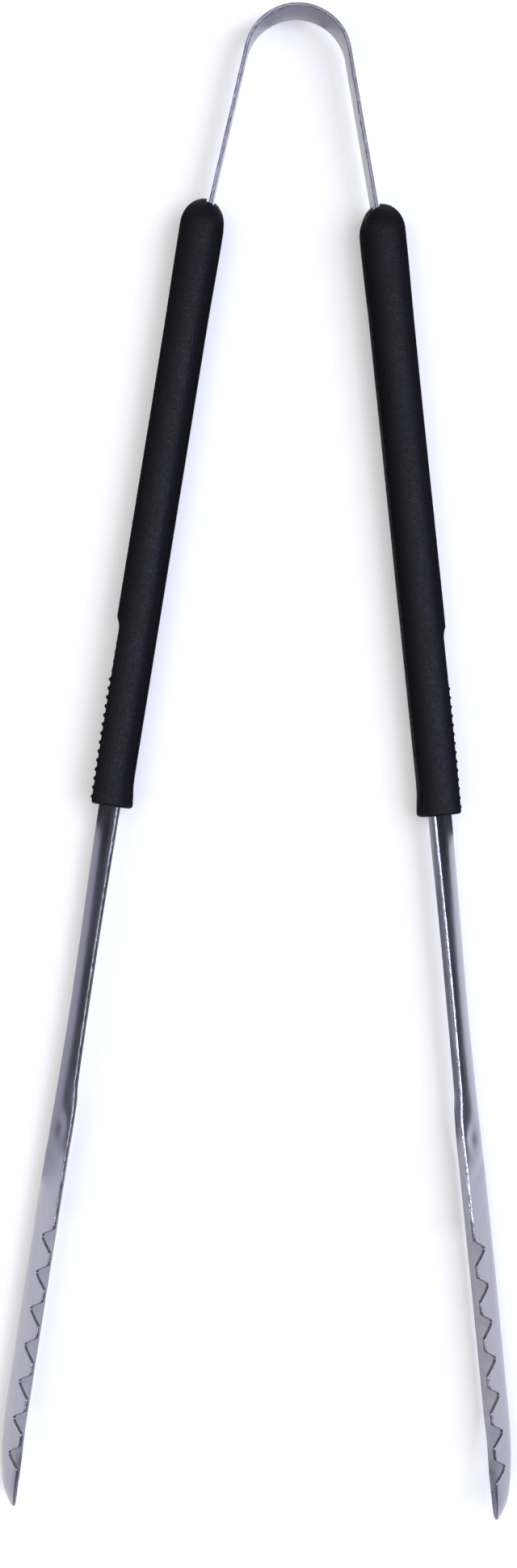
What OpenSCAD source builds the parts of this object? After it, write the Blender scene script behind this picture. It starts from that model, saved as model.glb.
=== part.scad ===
// Spring loaded kitchen tongs, lying on their side.
// X: across the tongs (the two arms open along X).
// Y: along the tongs, spring bow at +Y, jaws at -Y.
// Z: up, across the width of the metal strip. The grips rest on Z = 0.

/* [Overall] */
// Length from the top of the bow to the tips of the jaws
total_length = 440; // [438:0.5:442]
// Lean of each arm away from the middle line at rest, degrees
arm_lean = 7.5; // [7:0.1:8]
// Distance from the middle line to the top of each grip's centre line
grip_top_x = 25.4; // [25:0.1:27]

/* [Spring bow] */
// Outer radius of the bow's crown
bow_radius = 15.7; // [15:0.1:16.5]
// Thickness of the spring strip
strip_t = 1.0; // [0.8:0.05:1.1]
// Width of the spring strip
strip_w = 17.6; // [15:0.1:18.2]
// Lean of the bow's legs away from the middle line, degrees
leg_lean = 11.4; // [11.2:0.1:12.4]
// How far the strip runs down inside each grip
strip_depth = 148; // [144:1:149]

/* [Grips] */
// Length of each grip from its domed top to its open end
grip_len = 179; // [178:0.5:182]
// Thickness of each grip, seen from the side
grip_t = 12.4; // [12.2:0.1:13.4]
// Width of each grip across the strip
grip_w = 26; // [25:0.5:27]
// Radius of the grip's long edges
grip_edge_r = 4.5; // [4:0.1:5]
// Wall thickness of the grip shells
wall = 2.1; // [1.8:0.1:2.3]
// Depth of the thumb rest below the grip's outer face
rest_depth = 1.2; // [0.8:0.05:1.3]
// Number of ribs across the thumb rest
rib_count = 14; // [10:1:14]
// Distance from rib to rib
rib_pitch = 2.65; // [2.4:0.05:2.65]

/* [Arms and jaws] */
// Sheet thickness of the arms
sheet_t = 0.9; // [0.8:0.05:1.0]
// Half width of the arm channel
arm_half_w = 10.5; // [9.5:0.1:10.5]
// Half width of the jaw
jaw_half_w = 12; // [11.5:0.1:12.3]
// Number of scallops along each toothed edge
tooth_count = 7; // [5:1:7]
// Distance from scallop to scallop
tooth_pitch = 10.68; // [10.4:0.02:10.7]
// Depth of the scallops, seen from the side
tooth_depth = 3.0; // [2:0.1:3.2]

/* [Fasteners] */
// Radius of the rivet shanks
rivet_r = 2.0; // [1.5:0.1:2.2]
// Radius of the rivet heads
rivet_head_r = 3.6; // [3:0.1:4]
// Radius of the grip screws' shanks
screw_r = 1.1; // [1:0.05:1.2]
// Radius of the grip screws' heads
screw_head_r = 2.1; // [1.9:0.05:2.2]

/* [Hidden] */

$fn = 64;
mid_z = grip_w / 2;
top_y = total_length / 2;
grip_top_y = top_y - 57;
crown_y = top_y - bow_radius;
turn = leg_lean - arm_lean;

// Each arm's own frame: x outward, -y towards the tip, z up from mid width.
strip_x = -1.15;
gap = 0.02;
tang_x = strip_x + strip_t / 2 + gap;
tang_top = 100;
rivet_s = [112, 136];

// The leg's centre line starts where the crown ends.
leg_r = bow_radius - strip_t / 2;
leg_x = leg_r * cos(leg_lean);
leg_y = crown_y + leg_r * sin(leg_lean);
leg_u = (leg_x - grip_top_x) * cos(arm_lean) + (leg_y - grip_top_y) * sin(arm_lean);
leg_s = (leg_x - grip_top_x) * sin(arm_lean) - (leg_y - grip_top_y) * cos(arm_lean);
bend_s = leg_s + (strip_x - leg_u) / tan(turn);
leg_len = (bend_s - leg_s) / cos(turn);

// Grip screws: distance out from the centre line, distance from the top.
screw_at = [[2.9, 34], [2.9, 84], [-3.4, 153]];
boss_r = 2.7;

// Arm outline along its length, from the tang to the tip.
// Outermost line of the sheet's back.
back_pts = [[100, tang_x + 0.9], [152, tang_x + 0.9], [158, 0.5], [166, 1.7], [172, 2.5],
            [178, 2.85], [190, 2.65], [205, 2.35], [225, 1.95], [245, 1.7], [262, 1.75],
            [275, 1.9], [285, 2], [310, 2], [340, 1.8], [358, 1.65], [364, 1.35],
            [369, 0.9], [373, 0.35], [376, -0.2], [379, -0.9], [381, -1.6], [383, -2.65],
            [384.5, -3.55], [385.5, -4.25]];
// Line of the sheet's long edges, which face the other arm.
edge_pts = [[100, tang_x + 0.88], [152, tang_x + 0.88], [158, -0.65], [166, -2.1], [172, -2.7],
            [178, -2.85], [210, -2.8], [235, -3], [262, -3.5], [268, -4.05], [277, -4.05],
            [283, -3.9], [364, -4.15], [370, -4.4], [376, -4.8], [385.5, -5.05]];
// Half width of the sheet.
half_pts = [[100, 8], [150, 8], [158, 8.8], [166, arm_half_w - 0.4], [172, arm_half_w],
            [262, arm_half_w], [268, arm_half_w + 0.4], [283, jaw_half_w], [357, jaw_half_w],
            [363, jaw_half_w - 1.6], [370, 9.6], [375, 8.6], [379, 7.2], [382, 5.6],
            [384.2, 3.8], [385.5, 2]];
first_valley = 305.4;
last_valley = first_valley + (tooth_count - 1) * tooth_pitch;

// Height of the toothed edge, from 0 in a valley to 1 on a crest.
function tooth(p) = p < 0.5 ? 0 : p < 3.9 ? (p - 0.5) / 3.4 : p < 7.7 ? 1
                  : p < 10.1 ? 1 - (p - 7.7) / 2.4 : 0;
function near_height(s) = s < first_valley - 3 ? 1
                  : s < first_valley ? max(0, 1 - (s - first_valley + 3) / 2.4)
                  : s > last_valley + 4 ? 1
                  : tooth((s - first_valley) % tooth_pitch);

function stations() = concat([100, 128, 150, 154, 158, 162, 166, 170, 174, 178, 190, 205, 225,
                              245, 262, 265, 268, 277, 283, 294, 302.4, 304.8],
    [for (i = [0 : tooth_count - 1]) for (p = [0.01, 0.5, 2.2, 3.9, 7.7, 8.9, 10.1])
        if (i < tooth_count - 1 || p < 3) first_valley + i * tooth_pitch + p],
    [373.4, 376, 379, 381, 383, 384.5, 385.5]);

fixed = 7;
free = 3;

// One cross-section of the arm at distance s, as a closed loop of points.
function section(s) =
    let (w = lookup(s, half_pts), b = lookup(s, back_pts), e = lookup(s, edge_pts),
         d = max(b - e, 0.02), r = (w * w + d * d) / (2 * d), full = asin(min(1, w / r)),
         cut = near_height(s), dn = d - tooth_depth * (1 - cut),
         near = cut > 0.999 ? full : acos(1 - dn / r),
         core = acos(1 - max(d - 3.25, 0.4 * d) / r),
         a = concat([for (i = [0 : fixed]) -full + (core + full) * i / fixed],
                    [for (i = [1 : free]) core + (near - core) * i / free]),
         t = sheet_t, n = len(a) - 1)
    concat([for (i = [0 : n]) [b - r * (1 - cos(a[i])), -s, r * sin(a[i])]],
           [for (i = [n : -1 : 0]) [b - r + (r - t) * cos(a[i]), -s, (r - t) * sin(a[i])]]);

module formed_sheet() {
    st = stations();
    rings = [for (s = st) section(s)];
    k = len(rings[0]);
    m = len(rings);
    pts = [for (ring = rings) for (p = ring) p];
    sides = [for (i = [0 : m - 2]) for (j = [0 : k - 1])
             let (a = i * k + j, b = i * k + (j + 1) % k, c = a + k, d = b + k)
             each [[a, c, b], [b, c, d]]];
    half = k / 2;
    caps = [for (j = [0 : half - 2])
            each [[j, j + 1, k - 2 - j], [j, k - 2 - j, k - 1 - j]]];
    end = (m - 1) * k;
    ends = [for (f = caps) [end + f[2], end + f[1], end + f[0]]];
    polyhedron(pts, concat(sides, caps, ends));
}

module along_x(s, x0, x1, r) {
    translate([x0, -s, 0]) rotate([0, 90, 0]) cylinder(r = r, h = x1 - x0);
}

module along_z(x, s, z0, z1, r) {
    translate([x, -s, z0]) cylinder(r = r, h = z1 - z0);
}

module right_place() {
    translate([grip_top_x, grip_top_y, mid_z]) rotate([0, 0, arm_lean]) children();
}

module left_place() {
    mirror([1, 0, 0]) right_place() children();
}

module right_leg_outline() {
    translate([leg_x, leg_y]) rotate(leg_lean)
        translate([-strip_t / 2, -leg_len]) square([strip_t, leg_len + 0.05]);
    translate([grip_top_x, grip_top_y]) rotate(arm_lean) {
        translate([strip_x, -bend_s]) circle(d = strip_t);
        translate([strip_x - strip_t / 2, -strip_depth]) square([strip_t, strip_depth - bend_s]);
    }
}

module spring_bow() {
    color("#c9c8cc")
    difference() {
        translate([0, 0, mid_z - strip_w / 2]) linear_extrude(strip_w) {
            translate([0, crown_y]) intersection() {
                difference() {
                    circle(r = bow_radius, $fn = 128);
                    circle(r = bow_radius - strip_t, $fn = 128);
                }
                polygon([[0, 0], [40 * cos(leg_lean), 40 * sin(leg_lean)], [40, 40], [-40, 40],
                         [-40 * cos(leg_lean), 40 * sin(leg_lean)]]);
            }
            right_leg_outline();
            mirror([1, 0]) right_leg_outline();
        }
        right_place() for (s = rivet_s) along_x(s, strip_x - 3, strip_x + 3, rivet_r + 0.05);
        left_place() for (s = rivet_s) along_x(s, strip_x - 3, strip_x + 3, rivet_r + 0.05);
    }
}

module arm() {
    color("#b9b8bf")
    difference() {
        formed_sheet();
        for (s = rivet_s) along_x(s, -3, 3, rivet_r + 0.05);
    }
}

module arm_rivets() {
    color("#a9a9ae")
    for (s = rivet_s) {
        along_x(s, strip_x - strip_t / 2 - gap - 1.1, strip_x - strip_t / 2 - gap, rivet_head_r);
        along_x(s, strip_x - strip_t / 2 - gap - 0.5, tang_x + sheet_t + 0.5, rivet_r);
        along_x(s, tang_x + sheet_t + gap, tang_x + sheet_t + gap + 1.1, rivet_head_r);
    }
}

// Outline of a grip across its length: flat faces with round edges.
module grip_section() {
    x = grip_t / 2 - grip_edge_r;
    z = grip_w / 2 - grip_edge_r;
    square([2 * x, grip_w], center = true);
    square([grip_t, 2 * z], center = true);
    for (i = [-1, 1]) for (j = [-1, 1]) translate([i * x, j * z]) circle(r = grip_edge_r);
}

// Outline of a grip seen from the side: domed top, thumb rest with ribs.
module grip_side() {
    h = grip_t / 2;
    f = h - rest_depth;
    rib0 = grip_len - 1.4 - (rib_count - 0.5) * rib_pitch;
    translate([0, -h]) circle(r = h);
    polygon(concat(
        [[-h, -h], [-h, -grip_len], [f, -grip_len]],
        [for (i = [rib_count - 1 : -1 : 0]) let (s = rib0 + i * rib_pitch)
            each [[f + 0.25, -s - 0.75], [f + 0.7, -s - 0.35], [f + 0.7, -s + 0.35],
                  [f + 0.25, -s + 0.75]]],
        [[f, -rib0 + 1.8], [f, -127.4], [f + 0.15, -126.2], [f + 0.5, -125.2],
         [h - 0.2, -124.2], [h, -123.4], [h, -h]]));
}

// Outline of a grip seen from the inside of the tongs: wide dome at the top.
module grip_front() {
    r = 9;
    w = grip_w / 2;
    for (i = [-1, 1]) translate([i * (w - r), -r]) circle(r = r);
    translate([-w + r, -r]) square([2 * (w - r), r]);
    translate([-w, -grip_len]) square([grip_w, grip_len - r]);
}

module grip_outside() {
    intersection() {
        rotate([90, 0, 0]) linear_extrude(grip_len) grip_section();
        translate([0, 0, -grip_w / 2 - 1]) linear_extrude(grip_w + 2) grip_side();
        rotate([0, 90, 0]) mirror([1, 0, 0])
            translate([0, 0, -grip_t]) linear_extrude(2 * grip_t) rotate(0) grip_front();
    }
}

module block(x0, x1, s0, s1, z) {
    translate([x0, -s1, -z]) cube([x1 - x0, s1 - s0, 2 * z]);
}

// Space inside a grip: hollow, with cross walls that hold the strip.
module grip_inside() {
    c = grip_t / 2 - wall;
    z = grip_w / 2 - wall;
    strip_lo = strip_x - strip_t / 2 - 0.25;
    strip_hi = strip_x + strip_t / 2 + 0.25;
    block(-c, c, 9, 22, z - 3);
    block(-c, c, 24, 60, z);
    block(-c, c, 62, 96, z);
    block(-c, c - 0.6, 98, 159, z);
    block(-c, c - 0.6, 161, grip_len - 5, z);
    // slot for the strip, wider at the top where the leg comes in at a slant
    block(strip_lo - 0.75, strip_hi + 0.15, -2, 9.5, strip_w / 2 + 0.3);
    block(strip_lo, strip_hi, 9, strip_depth + 2, strip_w / 2 + 0.3);
    // room for the tang where it meets the strip, and as it opens into the channel
    block(strip_lo, tang_x + sheet_t + 0.15, 90, 152, 8.3);
    block(-2.1, 1.7, 151.5, 165, 10.2);
    // open end, round like the back of the arm
    intersection() {
        translate([3.2 - 13.2, -grip_len - 1, 0]) rotate([-90, 0, 0]) cylinder(r = 13.2, h = 20);
        block(-3.3, 8, grip_len - 18, grip_len + 1, arm_half_w + 0.4);
    }
}

module grip_body() {
    difference() {
        union() {
            difference() {
                grip_outside();
                grip_inside();
            }
            for (p = screw_at) intersection() {
                grip_outside();
                along_z(p[0], p[1], -grip_w / 2 - 1, grip_w / 2 + 1, boss_r);
            }
        }
        for (p = screw_at) {
            along_z(p[0], p[1], -grip_w / 2 - 1, -grip_w / 2 + 2.6, screw_head_r + 0.25);
            along_z(p[0], p[1], -grip_w / 2 + 2, 0, screw_r + 0.2);
            along_z(p[0], p[1], -1, 9.2, screw_r + 0.03);
        }
    }
}

module grip_front_shell() {
    color("#1b1b20")
    intersection() {
        grip_body();
        translate([-20, -grip_len - 5, 0.01]) cube([40, grip_len + 10, 20]);
    }
}

module grip_back_shell() {
    color("#17171b")
    intersection() {
        grip_body();
        translate([-20, -grip_len - 5, -20.01]) cube([40, grip_len + 10, 20]);
    }
}

module grip_screws() {
    color("#8d8d92")
    for (p = screw_at) difference() {
        union() {
            along_z(p[0], p[1], -grip_w / 2 + 1.1, -grip_w / 2 + 2.58, screw_head_r);
            along_z(p[0], p[1], -grip_w / 2 + 2, 9, screw_r);
        }
        // cross recess
        for (t = [0, 90]) translate([p[0], -p[1], -grip_w / 2 + 1.3]) rotate([0, 0, t])
            cube([2.4, 0.5, 1.2], center = true);
    }
}

module left_arm() { left_place() arm(); }
module right_arm() { right_place() arm(); }
module left_arm_rivets() { left_place() arm_rivets(); }
module right_arm_rivets() { right_place() arm_rivets(); }
module left_grip_front_shell() { left_place() grip_front_shell(); }
module left_grip_back_shell() { left_place() grip_back_shell(); }
module right_grip_front_shell() { right_place() grip_front_shell(); }
module right_grip_back_shell() { right_place() grip_back_shell(); }
module left_grip_screws() { left_place() grip_screws(); }
module right_grip_screws() { right_place() grip_screws(); }

spring_bow();
left_arm();
right_arm();
left_arm_rivets();
right_arm_rivets();
left_grip_front_shell();
left_grip_back_shell();
right_grip_front_shell();
right_grip_back_shell();
left_grip_screws();
right_grip_screws();
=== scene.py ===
import math

import bmesh
import bpy
from mathutils import Matrix, Vector


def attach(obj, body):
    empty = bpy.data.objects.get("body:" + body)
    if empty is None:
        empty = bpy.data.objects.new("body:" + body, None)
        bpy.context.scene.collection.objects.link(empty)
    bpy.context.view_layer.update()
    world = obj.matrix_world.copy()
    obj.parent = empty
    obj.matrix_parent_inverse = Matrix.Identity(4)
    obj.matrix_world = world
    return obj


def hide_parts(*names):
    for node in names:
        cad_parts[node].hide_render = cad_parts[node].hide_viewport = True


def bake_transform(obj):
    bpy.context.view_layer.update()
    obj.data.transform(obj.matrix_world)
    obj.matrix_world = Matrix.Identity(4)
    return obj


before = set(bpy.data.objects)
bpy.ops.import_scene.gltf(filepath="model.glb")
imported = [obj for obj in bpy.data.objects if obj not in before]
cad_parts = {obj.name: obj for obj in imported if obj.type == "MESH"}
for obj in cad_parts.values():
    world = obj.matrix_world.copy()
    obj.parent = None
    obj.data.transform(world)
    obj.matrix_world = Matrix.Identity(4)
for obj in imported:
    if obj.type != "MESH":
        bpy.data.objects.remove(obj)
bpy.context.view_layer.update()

MM = 0.001

# ---------------------------------------------------------------- numbers
# All in millimetres. Each arm's own frame: v outward, s from the grip's top
# towards the tip, z up from the middle of the strip's width.
LEAN = math.radians(7.5)
CL, SL = math.cos(LEAN), math.sin(LEAN)
TOP_X, TOP_Y, MID_Z = 25.4, 163.0, 13.0
GRIP_LEN, GRIP_HALF_T, GRIP_HALF_W = 179.0, 6.2, 13.0
STRIP_V, STRIP_T, STRIP_W = -1.15, 1.0, 17.6
SHEET = 0.9
RIVETS = (112.0, 136.0)
SCREWS = ((2.9, 34.0), (2.9, 84.0), (-3.4, 153.0))

BACK = [(100, .27), (152, .27), (158, .5), (166, 1.7), (172, 2.5), (178, 2.85), (190, 2.65),
        (205, 2.35), (225, 1.95), (245, 1.7), (262, 1.75), (275, 1.9), (285, 2), (310, 2),
        (340, 1.8), (358, 1.65), (364, 1.35), (369, .9), (373, .35), (376, -.2), (379, -.9),
        (381, -1.6), (383, -2.65), (384.5, -3.55), (385.5, -4.25)]
EDGE = [(100, .25), (152, .25), (158, -.65), (166, -2.1), (172, -2.7), (178, -2.85), (210, -2.8),
        (235, -3), (262, -3.5), (268, -4.05), (277, -4.05), (283, -3.9), (364, -4.15), (370, -4.4),
        (376, -4.8), (385.5, -5.05)]
HALF = [(100, 8), (150, 8), (158, 8.8), (166, 10.1), (172, 10.5), (262, 10.5), (268, 10.9),
        (283, 12), (357, 12), (363, 10.4), (370, 9.6), (375, 8.6), (379, 7.2), (382, 5.6),
        (384.2, 3.8), (385.5, 2)]
FIRST_VALLEY, PITCH, TEETH, TOOTH = 305.4, 10.68, 7, 3.0
LAST_VALLEY = FIRST_VALLEY + (TEETH - 1) * PITCH


def place(v, s, z):
    """A point of the right arm's own frame, in the row frame, in metres."""
    return ((TOP_X + v * CL + s * SL) * MM, (TOP_Y + v * SL - s * CL) * MM, (MID_Z + z) * MM)


def clamp(x, lo=0.0, hi=1.0):
    return lo if x < lo else hi if x > hi else x


def smooth(x):
    x = clamp(x)
    return x * x * (3 - 2 * x)


def noise(i, seed=0):
    """A fixed pseudo-random number from -1 to 1."""
    x = math.sin(i * 12.9898 + seed * 78.233 + 3.1) * 43758.5453
    return 2 * (x - math.floor(x)) - 1


def curve(table):
    """Smooth monotone interpolation through a table of points."""
    xs, ys = [float(p[0]) for p in table], [float(p[1]) for p in table]
    n = len(xs)
    h = [xs[i + 1] - xs[i] for i in range(n - 1)]
    m = [(ys[i + 1] - ys[i]) / h[i] for i in range(n - 1)]
    t = [m[0]] + [0.0] * (n - 2) + [m[-1]]
    for i in range(1, n - 1):
        if m[i - 1] * m[i] > 0:
            w1, w2 = 2 * h[i] + h[i - 1], h[i] + 2 * h[i - 1]
            t[i] = (w1 + w2) / (w1 / m[i - 1] + w2 / m[i])

    def f(x):
        x = clamp(x, xs[0], xs[-1])
        i = max(j for j in range(n - 1) if xs[j] <= x)
        u = (x - xs[i]) / h[i]
        return ((1 + 2 * u) * (1 - u) ** 2 * ys[i] + u * (1 - u) ** 2 * h[i] * t[i]
                + u * u * (3 - 2 * u) * ys[i + 1] + u * u * (u - 1) * h[i] * t[i + 1])

    return f


# ---------------------------------------------------------------- mesh helpers
def new_object(name, verts, faces, uvs=None, materials=(), face_materials=None):
    mesh = bpy.data.meshes.new(name)
    mesh.from_pydata(verts, [], faces)
    if uvs is not None:
        layer = mesh.uv_layers.new(name="along")
        flat = []
        for p in mesh.polygons:
            for k in p.loop_indices:
                flat.extend(uvs[mesh.loops[k].vertex_index])
        layer.data.foreach_set("uv", flat)
    for m in materials:
        mesh.materials.append(m)
    if face_materials is not None:
        mesh.polygons.foreach_set("material_index", face_materials)
    mesh.update()
    obj = bpy.data.objects.new(name, mesh)
    bpy.context.scene.collection.objects.link(obj)
    return obj


def tidy(obj, angle=35.0, dist=1e-7):
    bm = bmesh.new()
    bm.from_mesh(obj.data)
    bmesh.ops.remove_doubles(bm, verts=bm.verts, dist=dist)
    bmesh.ops.dissolve_degenerate(bm, edges=bm.edges, dist=dist)
    loose = [v for v in bm.verts if not v.link_faces]
    bmesh.ops.delete(bm, geom=loose, context="VERTS")
    bmesh.ops.recalc_face_normals(bm, faces=bm.faces)
    bm.to_mesh(obj.data)
    bm.free()
    obj.data.shade_smooth()
    obj.data.set_sharp_from_angle(angle=math.radians(angle))
    obj.data.update()
    return obj


def boolean(obj, other, op):
    mod = obj.modifiers.new("cut", "BOOLEAN")
    mod.object, mod.operation, mod.solver = other, op, "MANIFOLD"
    bpy.context.view_layer.update()
    dg = bpy.context.evaluated_depsgraph_get()
    mesh = bpy.data.meshes.new_from_object(obj.evaluated_get(dg))
    obj.modifiers.clear()
    old, obj.data = obj.data, mesh
    mesh.name = obj.name
    bpy.data.meshes.remove(old)
    bpy.data.objects.remove(other)
    return obj


def box(v0, v1, s0, s1, z0, z1):
    """A cutting block in the right arm's own frame."""
    c = [(v0, s0, z0), (v1, s0, z0), (v1, s1, z0), (v0, s1, z0),
         (v0, s0, z1), (v1, s0, z1), (v1, s1, z1), (v0, s1, z1)]
    f = [(0, 3, 2, 1), (4, 5, 6, 7), (0, 1, 5, 4), (1, 2, 6, 5), (2, 3, 7, 6), (3, 0, 4, 7)]
    return tidy(new_object("tool", [place(*p) for p in c], f))


def rod_z(v, s, z0, z1, r, n=40):
    pts, faces = [], []
    for z in (z0, z1):
        for i in range(n):
            a = 2 * math.pi * i / n
            pts.append(place(v + r * math.cos(a), s + r * math.sin(a), z))
    for i in range(n):
        j = (i + 1) % n
        faces.append((i, j, n + j, n + i))
    faces.append(tuple(range(n - 1, -1, -1)))
    faces.append(tuple(range(n, 2 * n)))
    return tidy(new_object("tool", pts, faces))


def rod_v(s, v0, v1, r, n=32, z=0.0):
    pts, faces = [], []
    for v in (v0, v1):
        for i in range(n):
            a = 2 * math.pi * i / n
            pts.append(place(v, s + r * math.cos(a), z + r * math.sin(a)))
    for i in range(n):
        j = (i + 1) % n
        faces.append((i, j, n + j, n + i))
    faces.append(tuple(range(n - 1, -1, -1)))
    faces.append(tuple(range(n, 2 * n)))
    return tidy(new_object("tool", pts, faces))


def rod_s(v, s0, s1, r, z_lim, v_lo, n=72):
    """The round open end of the grip: a bar along s, trimmed to a flat inner side."""
    ring = []
    for i in range(n):
        a = 2 * math.pi * i / n
        ring.append((max(v + r * math.cos(a), v_lo), clamp(r * math.sin(a), -z_lim, z_lim)))
    ring = [p for i, p in enumerate(ring) if math.dist(p, ring[i - 1]) > 1e-4]
    n = len(ring)
    pts = [place(p[0], s, p[1]) for s in (s0, s1) for p in ring]
    faces = [(i, (i + 1) % n, n + (i + 1) % n, n + i) for i in range(n)]
    faces += [tuple(range(n - 1, -1, -1)), tuple(range(n, 2 * n))]
    return tidy(new_object("tool", pts, faces))


def mirrored(obj, name):
    """The same piece on the left side."""
    mesh = obj.data.copy()
    mesh.name = name
    mesh.transform(Matrix.Diagonal((-1, 1, 1, 1)))
    mesh.flip_normals()
    mesh.update()
    twin = bpy.data.objects.new(name, mesh)
    bpy.context.scene.collection.objects.link(twin)
    return twin


# ---------------------------------------------------------------- materials
def node_tree(name):
    mat = bpy.data.materials.new(name)
    mat.use_nodes = True
    nt = mat.node_tree
    nt.nodes.clear()
    out = nt.nodes.new("ShaderNodeOutputMaterial")
    bsdf = nt.nodes.new("ShaderNodeBsdfPrincipled")
    nt.links.new(bsdf.outputs[0], out.inputs[0])
    return mat, nt, bsdf


def add(nt, kind, inputs=None, **props):
    n = nt.nodes.new(kind)
    for k, v in props.items():
        setattr(n, k, v)
    for k, v in (inputs or {}).items():
        if isinstance(v, bpy.types.NodeSocket):
            nt.links.new(v, n.inputs[k])
        else:
            n.inputs[k].default_value = v
    return n


def scaled(nt, coords, scale):
    m = add(nt, "ShaderNodeMapping", {"Vector": coords})
    m.inputs["Scale"].default_value = scale
    return m.outputs[0]


def ranged(nt, value, a, b, c, d):
    return add(nt, "ShaderNodeMapRange", {"Value": value, "From Min": a, "From Max": b,
                                          "To Min": c, "To Max": d}).outputs[0]


def ramp(nt, value, stops):
    r = add(nt, "ShaderNodeValToRGB", {"Fac": value})
    e = r.color_ramp.elements
    while len(e) < len(stops):
        e.new(0.5)
    for k, (p, c) in zip(e, stops):
        k.position, k.color = p, (*c, 1)
    return r.outputs[0]


def steel(name, colour, rough, brush=1.0, blotch=0.06, uv=True, aniso=0.45):
    """Satin stainless sheet: fine scratches along the length, faint cloudy stains and handling marks."""
    mat, nt, b = node_tree(name)
    if uv:
        co = add(nt, "ShaderNodeUVMap", uv_map="along").outputs[0]
        lines = scaled(nt, co, (0.9, 90.0, 1.0))
        long_lines = scaled(nt, co, (0.22, 26.0, 1.0))
        cloud = scaled(nt, co, (1.1, 4.0, 1.0))
    else:
        co = add(nt, "ShaderNodeTexCoord").outputs["Object"]
        lines = scaled(nt, co, (9000.0, 900.0, 9000.0))
        long_lines = scaled(nt, co, (2600.0, 300.0, 2600.0))
        cloud = scaled(nt, co, (300.0, 300.0, 300.0))
    n1 = add(nt, "ShaderNodeTexNoise", {"Vector": lines, "Scale": 5.0, "Detail": 3.0, "Roughness": .6}).outputs[0]
    n2 = add(nt, "ShaderNodeTexNoise", {"Vector": long_lines, "Scale": 5.0, "Detail": 4.0, "Roughness": .65}).outputs[0]
    n3 = add(nt, "ShaderNodeTexNoise", {"Vector": cloud, "Scale": 5.0, "Detail": 5.0, "Roughness": .6}).outputs[0]
    both = add(nt, "ShaderNodeMath", {0: n1, 1: n2}, operation="ADD").outputs[0]
    dark = tuple(x * (1 - blotch * 1.6) for x in colour)
    light = tuple(min(1, x * (1 + blotch)) for x in colour)
    tint = ramp(nt, n3, [(0.3, dark), (0.52, colour), (0.75, light)])
    streak = ramp(nt, ranged(nt, both, .7, 1.3, 0, 1), [(0.0, (.86, .86, .87)), (1.0, (1, 1, 1))])
    mix = add(nt, "ShaderNodeMix", data_type="RGBA", blend_type="MULTIPLY")
    mix.inputs[0].default_value = 0.6 * brush
    nt.links.new(tint, mix.inputs[6])
    nt.links.new(streak, mix.inputs[7])
    nt.links.new(mix.outputs[2], b.inputs["Base Color"])
    r = add(nt, "ShaderNodeMath", {0: ranged(nt, both, .6, 1.4, rough - .07 * brush, rough + .07 * brush),
                                   1: ranged(nt, n3, .3, .7, -.03, .05)}, operation="ADD").outputs[0]
    nt.links.new(r, b.inputs["Roughness"])
    bump = add(nt, "ShaderNodeBump", {"Height": both, "Strength": .16 * brush, "Distance": .00008}).outputs[0]
    nt.links.new(bump, b.inputs["Normal"])
    b.inputs["Metallic"].default_value = 1.0
    if uv and aniso:
        b.inputs["Anisotropic"].default_value = aniso
        tan = add(nt, "ShaderNodeTangent", direction_type="UV_MAP", uv_map="along").outputs[0]
        nt.links.new(tan, b.inputs["Tangent"])
    return mat


def cut_steel(name, colour, rough, jag, low=.62):
    """The sheared edge of the sheet, bright on the right arm, with torn facets that catch the light; the colour passed
    in is lighter on some edges as painted highlight and darker on others as painted shade.
    """
    mat, nt, b = node_tree(name)
    co = add(nt, "ShaderNodeUVMap", uv_map="along").outputs[0]
    n1 = add(nt, "ShaderNodeTexNoise", {"Vector": scaled(nt, co, (14.0, 40.0, 1.0)), "Scale": 5.0,
                                        "Detail": 3.0, "Roughness": .7}).outputs[0]
    n2 = add(nt, "ShaderNodeTexNoise", {"Vector": scaled(nt, co, (3.0, 6.0, 1.0)), "Scale": 5.0,
                                        "Detail": 2.0}).outputs[0]
    both = add(nt, "ShaderNodeMath", {0: n1, 1: n2}, operation="ADD").outputs[0]
    nt.links.new(ramp(nt, both, [(0.35, tuple(x * low for x in colour)), (0.6, colour)]), b.inputs["Base Color"])
    nt.links.new(ranged(nt, n1, .3, .7, rough - .1, rough + .16), b.inputs["Roughness"])
    bump = add(nt, "ShaderNodeBump", {"Height": both, "Strength": jag, "Distance": .0004}).outputs[0]
    nt.links.new(bump, b.inputs["Normal"])
    b.inputs["Metallic"].default_value = 1.0
    return mat


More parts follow.
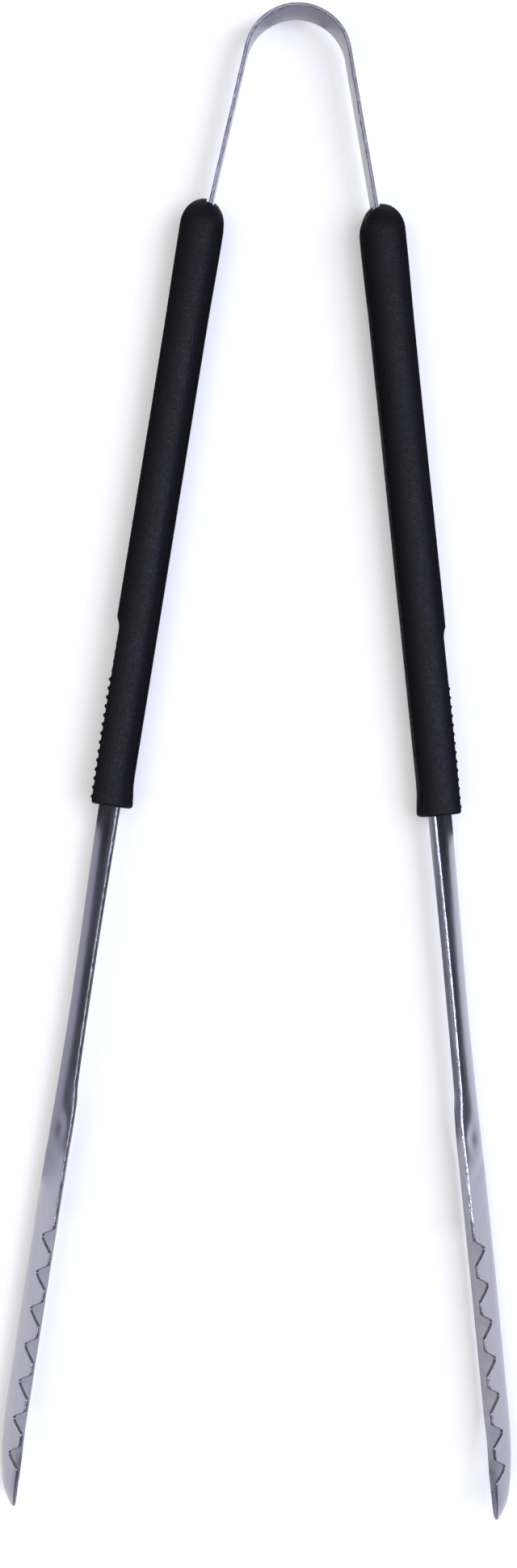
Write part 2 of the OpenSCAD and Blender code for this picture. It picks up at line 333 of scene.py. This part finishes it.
def plastic(name, colour, rough):
    """Black moulded plastic with a fine spark-eroded grain."""
    mat, nt, b = node_tree(name)
    co = add(nt, "ShaderNodeTexCoord").outputs["Object"]
    grain = add(nt, "ShaderNodeTexNoise", {"Vector": co, "Scale": 2300.0, "Detail": 2.5, "Roughness": .6}).outputs[0]
    pits = add(nt, "ShaderNodeTexVoronoi", {"Vector": co, "Scale": 1700.0}).outputs["Distance"]
    cloud = add(nt, "ShaderNodeTexNoise", {"Vector": co, "Scale": 60.0, "Detail": 4.0}).outputs[0]
    coarse = add(nt, "ShaderNodeTexNoise", {"Vector": co, "Scale": 900.0, "Detail": 3.0, "Roughness": .7}).outputs[0]
    fine = add(nt, "ShaderNodeMath", {0: grain, 1: pits}, operation="ADD").outputs[0]
    fine = add(nt, "ShaderNodeMath", {0: fine, 1: coarse}, operation="ADD").outputs[0]
    # lighter colour on sharp convex edges
    convex_edge_lift = ranged(nt, add(nt, "ShaderNodeNewGeometry").outputs["Pointiness"], .5, .58, 0, 1)
    c = ramp(nt, fine, [(0.55, tuple(x * .6 for x in colour)), (0.8, colour), (1.0, tuple(x * 2.6 for x in colour))])
    mix = add(nt, "ShaderNodeMix", data_type="RGBA")
    nt.links.new(convex_edge_lift, mix.inputs[0])
    nt.links.new(c, mix.inputs[6])
    mix.inputs[7].default_value = (*[x * 2.4 for x in colour], 1)
    nt.links.new(mix.outputs[2], b.inputs["Base Color"])
    r = add(nt, "ShaderNodeMath", {0: ranged(nt, cloud, .3, .7, rough - .04, rough + .05),
                                   1: ranged(nt, coarse, .35, .65, -.13, .13)}, operation="ADD").outputs[0]
    nt.links.new(r, b.inputs["Roughness"])
    bump = add(nt, "ShaderNodeBump", {"Height": fine, "Strength": .55, "Distance": .00016}).outputs[0]
    nt.links.new(bump, b.inputs["Normal"])
    b.inputs["Specular IOR Level"].default_value = 0.06
    return mat


ARM_STEEL = steel("satin_arm_steel", (.358, .346, .379), .30)
BOW_STEEL = steel("satin_spring_steel", (.33, .307, .338), .32, brush=.9)
# the arm edge steels are lit and shaded copies of one sheared steel: brighter on the right arm as painted highlight,
# darker on the left arm as painted shade
RIGHT_EDGE_PAINTED_GLINT = cut_steel("right_arm_edge_painted_glint", (.46, .46, .50), .26, .9)
LEFT_EDGE_PAINTED_SHADE = cut_steel("left_arm_edge_painted_shade", (.165, .16, .165), .36, .6)
# darker edge steel along the teeth: painted shade on the cut face
TOOTH_EDGE_PAINTED_SHADE = cut_steel("tooth_edge_painted_shade", (.21, .205, .22), .30, .8)
BOW_CUT = cut_steel("sheared_strip_edge", (.185, .175, .182), .38, .85, low=.22)
# near-black steel for the strip's corner lines: painted shade
BOW_CORNER_PAINTED_SHADE = cut_steel("strip_corner_painted_shade", (.035, .032, .036), .45, .6, low=.4)
PIN_STEEL = steel("fastener_steel", (.36, .36, .37), .34, uv=False)
GRIP = plastic("grained_black_plastic", (.0026, .0023, .0032), .46)


# ---------------------------------------------------------------- arms
back_at, edge_at, half_at = curve(BACK), curve(EDGE), curve(HALF)


def tooth_raw(s):
    if s < FIRST_VALLEY - 3:
        return 1.0
    if s < FIRST_VALLEY:
        return max(0.0, 1 - (s - FIRST_VALLEY + 3) / 2.4)
    if s > LAST_VALLEY + 4:
        return 1.0
    p = (s - FIRST_VALLEY) % PITCH
    return (0.0 if p < .5 else (p - .5) / 3.4 if p < 3.9 else 1.0 if p < 7.7
            else 1 - (p - 7.7) / 2.4 if p < 10.1 else 0.0)


def tooth(s):
    k = [(-.42, 1), (-.25, 2), (-.1, 2.4), (.1, 2.4), (.25, 2), (.42, 1)]
    return sum(w * tooth_raw(s + o) for o, w in k) / sum(w for _, w in k)


def arm_stations():
    st = [100 + 2.5 * i for i in range(21)] + [152.0 + .9 * i for i in range(1, 30)]
    s = 178.0
    while s < 300.8:
        s += 0.9
        st.append(s)
    for i in range(TEETH):
        base = FIRST_VALLEY + i * PITCH
        for p in (-3.2, -2.9, -2.5, -2.0, -1.5, -1.0, -.6, -.3, 0, .25, .5, .8, 1.2, 1.7, 2.3, 2.9,
                  3.35, 3.65, 3.9, 4.2, 4.7, 5.6, 6.4, 7.0):
            st.append(base + p)
    s = LAST_VALLEY + 7.6
    while s < 383.0:
        st.append(s)
        s += 0.55
    st += [383.3, 383.8, 384.2, 384.6, 384.9, 385.15, 385.35, 385.5]
    st = sorted(x for x in st if x <= 385.5)
    keep = [st[0]]
    for x in st[1:]:
        if x - keep[-1] > 0.12:
            keep.append(x)
    return keep


def arm_section(s):
    """Outer curve v(t), z(t) of the sheet's back at s, with t from -1 at the far edge to 1 at the near edge."""
    w, b, e = half_at(s), back_at(s), edge_at(s)
    d = max(b - e, 0.02)
    r = (w * w + d * d) / (2 * d)
    jaw = smooth((s - 262) / 24) * (1 - 0.7 * smooth((s - 366) / 16))
    a = 0.5 * w
    k = d / (math.sqrt(1 + (w / a) ** 2) - 1)
    dent_s = math.exp(-((s - 273) / 3.8) ** 2)

    def at(t):
        z = w * t
        arc = r - math.sqrt(max(r * r - z * z, 0.0))
        hyp = k * (math.sqrt(1 + (z / a) ** 2) - 1)
        drop = (1 - jaw) * arc + jaw * hyp
        drop += 0.85 * dent_s * math.exp(-((t - .66) / .22) ** 2)
        drop += 0.35 * math.exp(-((s - 278 - 9 * t) / 2.3) ** 2) * math.exp(-((t - .45) / .4) ** 2)
        return b - drop, z

    return at, b, d


def arm_mesh(name, materials):
    st = arm_stations()
    n_far, n_near = 30, 12
    rings, uvs = [], []
    for si, s in enumerate(st):
        at, b, d = arm_section(s)
        cut = TOOTH * (1 - tooth(s))

        def t_for(depth):
            lo, hi = 0.0, 1.0
            for _ in range(26):
                m = (lo + hi) / 2
                if b - at(m)[0] < depth:
                    lo = m
                else:
                    hi = m
            return (lo + hi) / 2

        core = t_for(max(d - 3.4, .35 * d))
        near = 1.0 if cut < 1e-3 else t_for(d - cut)
        ts = [-1 + (core + 1) * i / n_far for i in range(n_far + 1)]
        ts += [core + (near - core) * i / n_near for i in range(1, n_near + 1)]
        outer, inner = [], []
        for t in ts:
            v, z = at(t)
            v2, z2 = at(min(t + .002, 1.2))
            v1, z1 = at(t - .002)
            tv, tz = v2 - v1, z2 - z1
            m = math.hypot(tv, tz)
            nv, nz = -tz / m, tv / m
            outer.append((v, z))
            inner.append((v + nv * SHEET, z + nz * SHEET))
        # the sheared rims: chamfered, slightly torn along the arm
        tear = 0.10 * smooth((s - 178) / 6) * (1 - .75 * smooth((s - 296) / 10))
        ring = []
        kind = []

        def mix(p, q, f, lift=0.0, along=None):
            x = (p[0] + (q[0] - p[0]) * f, p[1] + (q[1] - p[1]) * f)
            if along and lift:
                x = (x[0] + along[0] * lift, x[1] + along[1] * lift)
            return x

        def direction(p, q):
            m = math.hypot(q[0] - p[0], q[1] - p[1])
            return ((q[0] - p[0]) / m, (q[1] - p[1]) / m)

        up = direction(outer[-2], outer[-1])
        down = direction(outer[1], outer[0])
        body_out = outer[1:-1]
        body_in = inner[1:-1]
        c = 0.09
        roll = .34
        out_near = (outer[-1][0] - up[0] * roll, outer[-1][1] - up[1] * roll)
        face = direction(outer[-1], inner[-1])
        in_near = (inner[-1][0] - up[0] * c, inner[-1][1] - up[1] * c)
        out_far = (outer[0][0] - down[0] * c, outer[0][1] - down[1] * c)
        in_far = (inner[0][0] - down[0] * c, inner[0][1] - down[1] * c)
        ring += body_out[:-1] + [mix(body_out[-1], out_near, -.35), out_near]
        # rolled over on the outer side, torn where the cut broke through
        for q, a in enumerate((24, 46, 68, 88)):
            a = math.radians(a)
            lift = -roll * (1 - math.sin(a)) + tear * (.4 + .6 * (q > 0)) * noise(si, q + 1)
            over = roll * (1 - math.cos(a)) + .5 * tear * noise(si, q + 7)
            ring.append((outer[-1][0] + face[0] * over + up[0] * lift,
                         outer[-1][1] + face[1] * over + up[1] * lift))
        ring += [in_near] + body_in[::-1] + [in_far]
        ring += [mix(inner[0], outer[0], .12), mix(inner[0], outer[0], .5), mix(inner[0], outer[0], .88)]
        ring += [out_far]
        rings.append(ring)
        length = 0.0
        line = [length]
        for p, q in zip(ring, ring[1:]):
            length += math.dist(p, q)
            line.append(length)
        uvs.append([(s / 100.0, x / 100.0) for x in line])
    k = len(rings[0])
    verts = [place(p[0], s, p[1]) for s, ring in zip(st, rings) for p in ring]
    flat_uv = [u for row in uvs for u in row]
    n_out = n_far + n_near - 1  # points in body_out
    rim = set(range(n_out, n_out + 5)) | set(range(2 * n_out + 6, k))
    faces, mats = [], []
    for i in range(len(st) - 1):
        for j in range(k):
            a, b2 = i * k + j, i * k + (j + 1) % k
            faces.append((a, a + k, b2 + k, b2))
            # rim faces: slot 1 is the edge steel (painted highlight on the right arm, painted shade on the left), slot
            # 2 past s=296 is the darker tooth edge as painted shade
            mats.append(0 if j not in rim else 1 if st[i] < 296 else 2)
    # closed ends, as rows of quads across the sheet
    for base, flip in ((0, False), ((len(st) - 1) * k, True)):
        lo = n_out + 3 - 1  # middle of the near rim
        chain_a = [(lo - i) % k for i in range(k // 2)]
        chain_b = [(lo + 1 + i) % k for i in range(k // 2)]
        m = min(len(chain_a), len(chain_b))
        for i in range(m - 1):
            f = [base + chain_a[i], base + chain_a[i + 1], base + chain_b[i + 1], base + chain_b[i]]
            faces.append(tuple(f if not flip else f[::-1]))
            mats.append(1)
        if k % 2:
            f = [base + chain_a[m - 1], base + (lo + 1 + m) % k, base + chain_b[m - 1]]
            faces.append(tuple(f if not flip else f[::-1]))
            mats.append(1)
    return new_object(name, verts, faces, flat_uv, materials, mats)


right_arm = arm_mesh("right_arm_sheet", (ARM_STEEL, RIGHT_EDGE_PAINTED_GLINT, TOOTH_EDGE_PAINTED_SHADE))
tidy(right_arm, 38)
for s in RIVETS:
    boolean(right_arm, rod_v(s, -3, 3, 2.05), "DIFFERENCE")
tidy(right_arm, 38)
left_arm = mirrored(right_arm, "left_arm_sheet")
# the left arm's cut edge, the same as the right's, takes the darker copy: painted shade
left_arm.data.materials[1] = LEFT_EDGE_PAINTED_SHADE
for piece, side in ((right_arm, "right"), (left_arm, "left")):
    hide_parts(side + "_arm")
    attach(piece, side + "_side")


# ---------------------------------------------------------------- spring bow, in two halves
def leg_numbers():
    lean = math.radians(11.4)
    cy, r = 220.0 - 15.7, 15.2
    lx, ly = r * math.cos(lean), cy + r * math.sin(lean)
    u = (lx - TOP_X) * CL + (ly - TOP_Y) * SL
    s = (lx - TOP_X) * SL - (ly - TOP_Y) * CL
    bend = s + (STRIP_V - u) / math.tan(lean - LEAN)
    return lean, cy, r, lx, ly, bend


def strip_path():
    """Centre line of the right half in the row frame's X, Y (mm), from the top of the bow to its end in the grip."""
    lean, cy, r, lx, ly, bend = leg_numbers()
    pts = []
    n = 60
    for i in range(n + 1):
        a = math.pi / 2 + (lean - math.pi / 2) * i / n
        pts.append((r * math.cos(a), cy + r * math.sin(a)))

    def local(v, s):
        return (TOP_X + v * CL + s * SL, TOP_Y + v * SL - s * CL)

    b0 = local(STRIP_V, bend)
    length = math.dist(pts[-1], b0)
    stop = length - 3.0
    m = 44
    start = pts[-1]
    d = ((b0[0] - start[0]) / length, (b0[1] - start[1]) / length)
    for i in range(1, m + 1):
        q = stop * i / m
        pts.append((start[0] + d[0] * q, start[1] + d[1] * q))
    p0, p2 = pts[-1], local(STRIP_V, bend + 3.0)
    for i in range(1, 7):  # an easy bend into the grip
        t = i / 6
        pts.append(tuple((1 - t) ** 2 * p0[k] + 2 * t * (1 - t) * b0[k] + t * t * p2[k] for k in (0, 1)))
    s = bend + 3.0
    while s < 147.4:
        s = min(s + 4.0, 148.0)
        pts.append(local(STRIP_V, s))
    return pts


def strip_mesh(name, materials):
    pts = strip_path()
    h, w, c = STRIP_T / 2, STRIP_W / 2, 0.14
    verts, uvs, faces, mats = [], [], [], []
    run = 0.0
    k = None
    for i, p in enumerate(pts):
        a, b = pts[max(i - 1, 0)], pts[min(i + 1, len(pts) - 1)]
        if i == 0:
            n = (0.0, 1.0)
        else:
            m = math.dist(a, b)
            n = (-(b[1] - a[1]) / m, (b[0] - a[0]) / m)
            if n[0] * 1 + n[1] * 1 < 0:
                n = (-n[0], -n[1])
            run += math.dist(pts[i - 1], p)
        j = [0.035 * noise(i, q) for q in range(4)]
        zs = [(-h, -w + c), (-h, -w / 2), (-h, 0), (-h, w / 2), (-h, w - c),
              (-h + c * .8, w - .02 + j[0]), (-h * .3, w + j[1] * .6), (h * .35, w + j[2] * .6), (h - c * .8, w - .02 + j[3]),
              (h, w - c), (h, w / 2), (h, 0), (h, -w / 2), (h, -w + c),
              (h - c * .8, -w), (0.0, -w), (-h + c * .8, -w)]
        k = len(zs)
        line = 0.0
        for q, (x, z) in enumerate(zs):
            verts.append(((p[0] + n[0] * x) * MM, (p[1] + n[1] * x) * MM, (MID_Z + z) * MM))
            if q:
                line += math.dist(zs[q - 1], zs[q])
            uvs.append((run / 100.0, line / 100.0))
    for i in range(len(pts) - 1):
        for q in range(k):
            a, b = i * k + q, i * k + (q + 1) % k
            faces.append((a, b, b + k, a + k))
            # the two corner lines of the strip's edges (4 and 8) take the near-black steel: painted shade
            mats.append(2 if q in (4, 8) else 1 if 4 < q < 8 or q >= 13 else 0)
    last = (len(pts) - 1) * k
    faces.append(tuple(range(k - 1, -1, -1)))
    faces.append(tuple(last + q for q in range(k)))
    mats += [0, 1]
    return new_object(name, verts, faces, uvs, materials, mats)


right_bow = strip_mesh("spring_bow_right_half", (BOW_STEEL, BOW_CUT, BOW_CORNER_PAINTED_SHADE))
tidy(right_bow, 38)
for s in RIVETS:
    boolean(right_bow, rod_v(s, -4, 2, 2.05), "DIFFERENCE")
tidy(right_bow, 38)
left_bow = mirrored(right_bow, "spring_bow_left_half")
for piece, side, x in ((right_bow, "right", 1), (left_bow, "left", -1)):
    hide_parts("spring_bow")
    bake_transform(piece)


# ---------------------------------------------------------------- grips
RIB0, RIB_PITCH, RIBS = 142.6, 2.65, 14
STEP = curve([(100, 6.2), (123.6, 6.2), (124.2, 6.14), (125, 5.88), (125.6, 5.56), (126.3, 5.3), (127, 5.12),
              (128, 5.0), (141, 5.0), (160, 5.02), (179, 4.86)])
INNER = curve([(0, 6.4), (12, 6.4), (35, 6.15), (120, 6.15), (168, 6.15), (172, 6.25), (176, 6.7), (178, 6.88), (179, 6.9)])
WAIST = curve([(0, 6.4), (12, 6.4), (35, 6.2), (60, 6.12), (90, 6.16), (120, 6.2), (179, 6.2)])


def rib(s):
    """Height of the thumb rest's ribs: faint above, full in the lower part."""
    h = 0.0
    if s > 129.5:
        i = round((s - RIB0) / RIB_PITCH)
        if -5 <= i < RIBS:
            x = abs(s - (RIB0 + i * RIB_PITCH))
            tall = (0.16 + 0.03 * (i + 5)) if i < 0 else 0.64 - 0.008 * i
            h = tall * (1 - smooth((x - .25) / .62))
    return h


def grip_stations():
    st = [0.0, .03, .1, .22, .4, .62, .9, 1.2, 1.6, 2.0, 2.5, 3.0, 3.6, 4.3, 5.0, 5.8, 6.6, 7.4, 8.2, 9.0]
    s = 9.0
    while s < 119:
        s += 4.4
        st.append(s)
    st += [121.5, 122.8, 123.5, 123.9, 124.3, 124.7, 125.1, 125.5, 125.9, 126.3, 126.7, 127.1, 127.6, 128.2, 128.9]
    for i in range(-5, RIBS):
        c = RIB0 + i * RIB_PITCH
        for p in (-1.1, -.86, -.62, -.38, -.2, 0, .2, .38, .62, .86, 1.1, 1.32):
            st.append(c + p)
    st += [178.2, 178.5, 178.75, 178.92, 179.0]
    st = sorted(x for x in st if x <= 179)
    keep = [st[0]]
    for x in st[1:]:
        if x - keep[-1] > .025:
            keep.append(x)
    return keep


def grip_columns():
    """Where the section's points lie: flats as a share of the flat's height, then angles round the end."""
    n = 2.35
    crease = math.degrees(math.acos((5.0 / 6.2) ** (n / 2)))
    flats = [0.0, .012, .05, .2, .36, .52, .68, .84, 1.0]
    turn = [9, 16, 23, 29, 33.5, crease, crease + 2.2, 43, 49, 55, 61, 67, 73, 79, 84.5]
    return flats, turn, n


def grip_solid(name, material):
    flats, turn, n = grip_columns()
    st = grip_stations()
    rings = []
    for s in st:
        f = math.sqrt(max(0.0, 1 - ((8 - s) / 8) ** 2)) if s < 8 else 1.0
        vo = WAIST(s) * f
        vi = INNER(s) * f
        hz = 4 + 9 * math.sqrt(max(0.0, 1 - ((9 - s) / 9) ** 2)) if s < 9 else 13.0
        end = 1.0
        if s > 178.2:  # a small round at the open end
            q = (s - 178.2) / .8
            end = .8 * (1 - math.sqrt(max(0.0, 1 - q * q)))
            vo, vi, hz = vo - end, vi - end, hz - end
        rz = min(8.0 * (.35 + .65 * f), hz)
        zf = hz - rz
        cap = STEP(s)
        ring = []

        def side(sign, reach):
            out = []
            for share in flats:
                z = zf * share
                v = reach
                if share < .02:  # the fine groove between the two shells
                    v = reach - .22 * (1 - share / .02) * min(1.0, reach / 3)
                out.append((v, z))
            for a in turn:
                r = math.radians(a)
                out.append((reach * math.cos(r) ** (2 / n), zf + rz * math.sin(r) ** (2 / n)))
            if sign > 0 and s > 123:
                new = []
                for v, z in out:
                    fade = 1 - smooth((z - 6.8) / 2.8)
                    limit = cap + rib(s) * fade - (end if end < 1 else 0)
                    if z < .05:
                        limit -= .2
                    new.append((min(v, limit), z))
                out = new
            return out

        outer = side(1, vo)
        inner = side(-1, vi)
        top = (0.0, hz)
        half = outer + [top] + [(-v, z) for v, z in inner[::-1]]
        lower = [(v, -z) for v, z in half[::-1]]
        ring = half + lower[1:-1]
        rings.append(ring)
    k = len(rings[0])
    verts = [place(v, s, z) for s, ring in zip(st, rings) for v, z in ring]
    faces = []
    for i in range(len(st) - 1):
        for j in range(k):
            a, b = i * k + j, i * k + (j + 1) % k
            faces.append((a, b, b + k, a + k))
    h = (k + 2) // 2
    last = (len(st) - 1) * k
    # the open end's rim, closed here and bored out below
    top_i = len(flats) + len(turn)
    for j in range(top_i):
        a, b = j, j + 1
        c, d = h - 1 - j, h - 2 - j
        if d > b:
            faces.append((last + a, last + c, last + d, last + b))
        elif d == b:
            faces.append((last + a, last + c, last + b))
    low = [0] + [k - 1 - i for i in range(k - h)] + [h - 1]
    m = len(low)
    for j in range(m // 2):
        a, b = low[j], low[j + 1]
        c, d = low[m - 1 - j], low[m - 2 - j]
        if b == d:
            faces.append((last + a, last + b, last + c))
            break
        if low.index(d) < low.index(b):
            break
        faces.append((last + a, last + b, last + d, last + c))
    obj = new_object(name, verts, faces, None, (material,))
    return tidy(obj, 40, 2e-6)


def cavity():
    """The hollow inside a grip, as separate closed blocks."""
    c, z = 6.2 - 2.1, 13 - 2.1
    lo, hi = STRIP_V - .5 - .25, STRIP_V + .5 + .25
    tools = []
    for s0, s1, w in ((9, 22, z - 3), (24, 60, z), (62, 96, z), (98, 159, z), (161, 174, z)):
        t = box(-c, c if s0 < 90 else c - .6, s0, s1, -w, w)
        for v, s in SCREWS:
            if s0 - 3 < s < s1 + 3:
                boolean(t, rod_z(v, s, -14, 14, 2.7, 32), "DIFFERENCE")
        tools.append(t)
    tools.append(box(lo - .75, hi + .15, -2, 9.5, -9.1, 9.1))
    tools.append(box(lo, hi, 9, 150, -9.1, 9.1))
    tools.append(box(lo, .42, 90, 152, -8.3, 8.3))
    tools.append(box(-2.15, 1.75, 151.5, 165, -10.25, 10.25))
    tools.append(rod_s(3.2 - 13.2, 161, 181, 13.2, 10.9, -3.3))
    return tools


def shell(name, source, tools, z_lo, z_hi, back):
    obj = bpy.data.objects.new(name, source.data.copy())
    bpy.context.scene.collection.objects.link(obj)
    boolean(obj, box(-20, 20, -6, 190, z_lo, z_hi), "INTERSECT")
    for t in tools:
        copy = bpy.data.objects.new("tool", t.data.copy())
        bpy.context.scene.collection.objects.link(copy)
        boolean(obj, copy, "DIFFERENCE")
    for v, s in SCREWS:
        if back:
            boolean(obj, rod_z(v, s, -13.6, -10.4, 2.35, 48), "DIFFERENCE")
            boolean(obj, rod_z(v, s, -11, .5, 1.3, 28), "DIFFERENCE")
        else:
            boolean(obj, rod_z(v, s, -1, 9.2, 1.13, 28), "DIFFERENCE")
    return tidy(obj, 33, 1e-6)


whole = grip_solid("grip_blank", GRIP)
hollow = cavity()
right_front = shell("right_grip_front_skin", whole, hollow, .015, 20, False)
right_back = shell("right_grip_back_skin", whole, hollow, -20, -.015, True)
for o in [whole, *hollow]:
    bpy.data.objects.remove(o)
left_front = mirrored(right_front, "left_grip_front_skin")
left_back = mirrored(right_back, "left_grip_back_skin")
for piece, side, face in ((right_front, "right", "front"), (right_back, "right", "back"),
                          (left_front, "left", "front"), (left_back, "left", "back")):
    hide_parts(f"{side}_grip_{face}_shell")
    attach(piece, side + "_side")

# ---------------------------------------------------------------- fasteners: the CAD nodes, with their own steel
for n in ("left_arm_rivets", "right_arm_rivets", "left_grip_screws", "right_grip_screws"):
    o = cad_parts[n]
    o.data.materials.clear()
    o.data.materials.append(PIN_STEEL)

# ---------------------------------------------------------------- studio
scene = bpy.context.scene
scene.view_settings.view_transform = "Standard"
scene.view_settings.look = "None"
scene.view_settings.exposure = 0.0
scene.view_settings.gamma = 1.0

world = bpy.data.worlds.new("studio")
scene.world = world
world.use_nodes = True
bg = world.node_tree.nodes["Background"]
bg.inputs[0].default_value = (.80, .84, 1.0, 1)
bg.inputs[1].default_value = 0.12

mat, nt, b = node_tree("pale_floor")
b.inputs["Base Color"].default_value = (.86, .86, .87, 1)
b.inputs["Roughness"].default_value = .7
b.inputs["Specular IOR Level"].default_value = 0.1
grain = add(nt, "ShaderNodeTexNoise", {"Scale": 40.0, "Detail": 3.0}).outputs[0]
nt.links.new(ramp(nt, grain, [(.3, (.85, .85, .86)), (.7, (.87, .87, .88))]), b.inputs["Base Color"])
floor = new_object("floor", [(-2.5, -2.5, -.0004), (2.5, -2.5, -.0004), (2.5, 2.5, -.0004), (-2.5, 2.5, -.0004)],
                   [(0, 1, 2, 3)], None, (mat,))


def softbox(name, at, size, power, colour, target=(0, 0, 0)):
    light = bpy.data.lights.new(name, "AREA")
    light.shape, light.size, light.size_y = "RECTANGLE", size[0], size[1]
    light.energy, light.color = power, colour
    o = bpy.data.objects.new(name, light)
    o.location = at
    o.rotation_euler = (Vector(target) - Vector(at)).to_track_quat("-Z", "Y").to_euler()
    scene.collection.objects.link(o)
    return o


softbox("key_right", (.62, .1, 1.05), (.6, 1.1), 16.0, (.72, .79, 1.0))
softbox("overhead", (-.08, 0, 1.35), (.6, 1.0), 12.0, (1.0, .95, .89))
softbox("fill_left", (-.95, -.1, .9), (.4, 1.0), 7.0, (.95, .96, 1.0))
glow = softbox("cool_strip", (.34, .06, .82), (.12, .8), 6.0, (.33, .42, 1.0))
glow.visible_diffuse = False


def card(name, corners, shade=.03):
    """A dark card near the tongs, seen only by reflections: a painted dark reflection, hidden from the camera and
    casting no shade.
    """
    m, n, s = node_tree(name)
    s.inputs["Base Color"].default_value = (shade, shade, shade * 1.15, 1)
    s.inputs["Roughness"].default_value = .9
    s.inputs["Specular IOR Level"].default_value = .05
    o = new_object(name, corners, [(0, 1, 2, 3)], None, (m,))
    for a in ("visible_camera", "visible_diffuse", "visible_shadow", "visible_transmission", "visible_volume_scatter"):
        setattr(o, a, False)
    return o


for side, x in (("right", 1), ("left", -1)):
    # upright beside the grip and beside the arm, and one flat on the table by the grip, all painted dark reflections;
    # the flat one shows the white table darker in reflections only
    card("card_grip_" + side, [(x * .098, -.02, .001), (x * .072, .20, .001), (x * .082, .20, .12), (x * .108, -.02, .12)])
    card("card_arm_" + side, [(x * .110, -.112, .001), (x * .090, -.02, .001), (x * .094, -.02, .07), (x * .114, -.112, .07)], .11)
    card("card_floor_" + side, [(x * .098, -.02, .0008), (x * .072, .20, .0008), (x * .034, .20, .0008), (x * .056, -.02, .0008)])
# painted dark and grey reflections between the arms, under the crown and beside the left arm; the table stays white to
# the camera
card("card_middle", [(-.041, -.02, .001), (.041, -.02, .001), (.0175, .165, .001), (-.0175, .165, .001)], .01)
card("card_crown", [(-.014, .165, .012), (.014, .165, .012), (.012, .197, .012), (-.012, .197, .012)], .02)
card("card_crown_near", [(-.010, .199, .0008), (.010, .199, .0008), (.007, .2165, .0008), (-.007, .2165, .0008)], .40)
card("card_arm_floor_left", [(-.110, -.125, .0008), (-.090, -.02, .0008), (-.054, -.02, .0008), (-.067, -.125, .0008)], .46)
card("card_middle_low", [(-.052, -.235, .003), (.052, -.235, .003), (.035, -.025, .003), (-.035, -.025, .003)], .10)

# ---------------------------------------------------------------- camera
cam = bpy.data.cameras.new("camera")
cam.sensor_width, cam.lens = 36.0, 70.75
cam.shift_x, cam.shift_y = .0466, -.0083
cam.clip_start, cam.clip_end = .01, 20
co = bpy.data.objects.new("camera", cam)
co.location = (-.0266, -.0038, .9153)
co.rotation_euler = (0, 0, .0290)
scene.collection.objects.link(co)
scene.camera = co
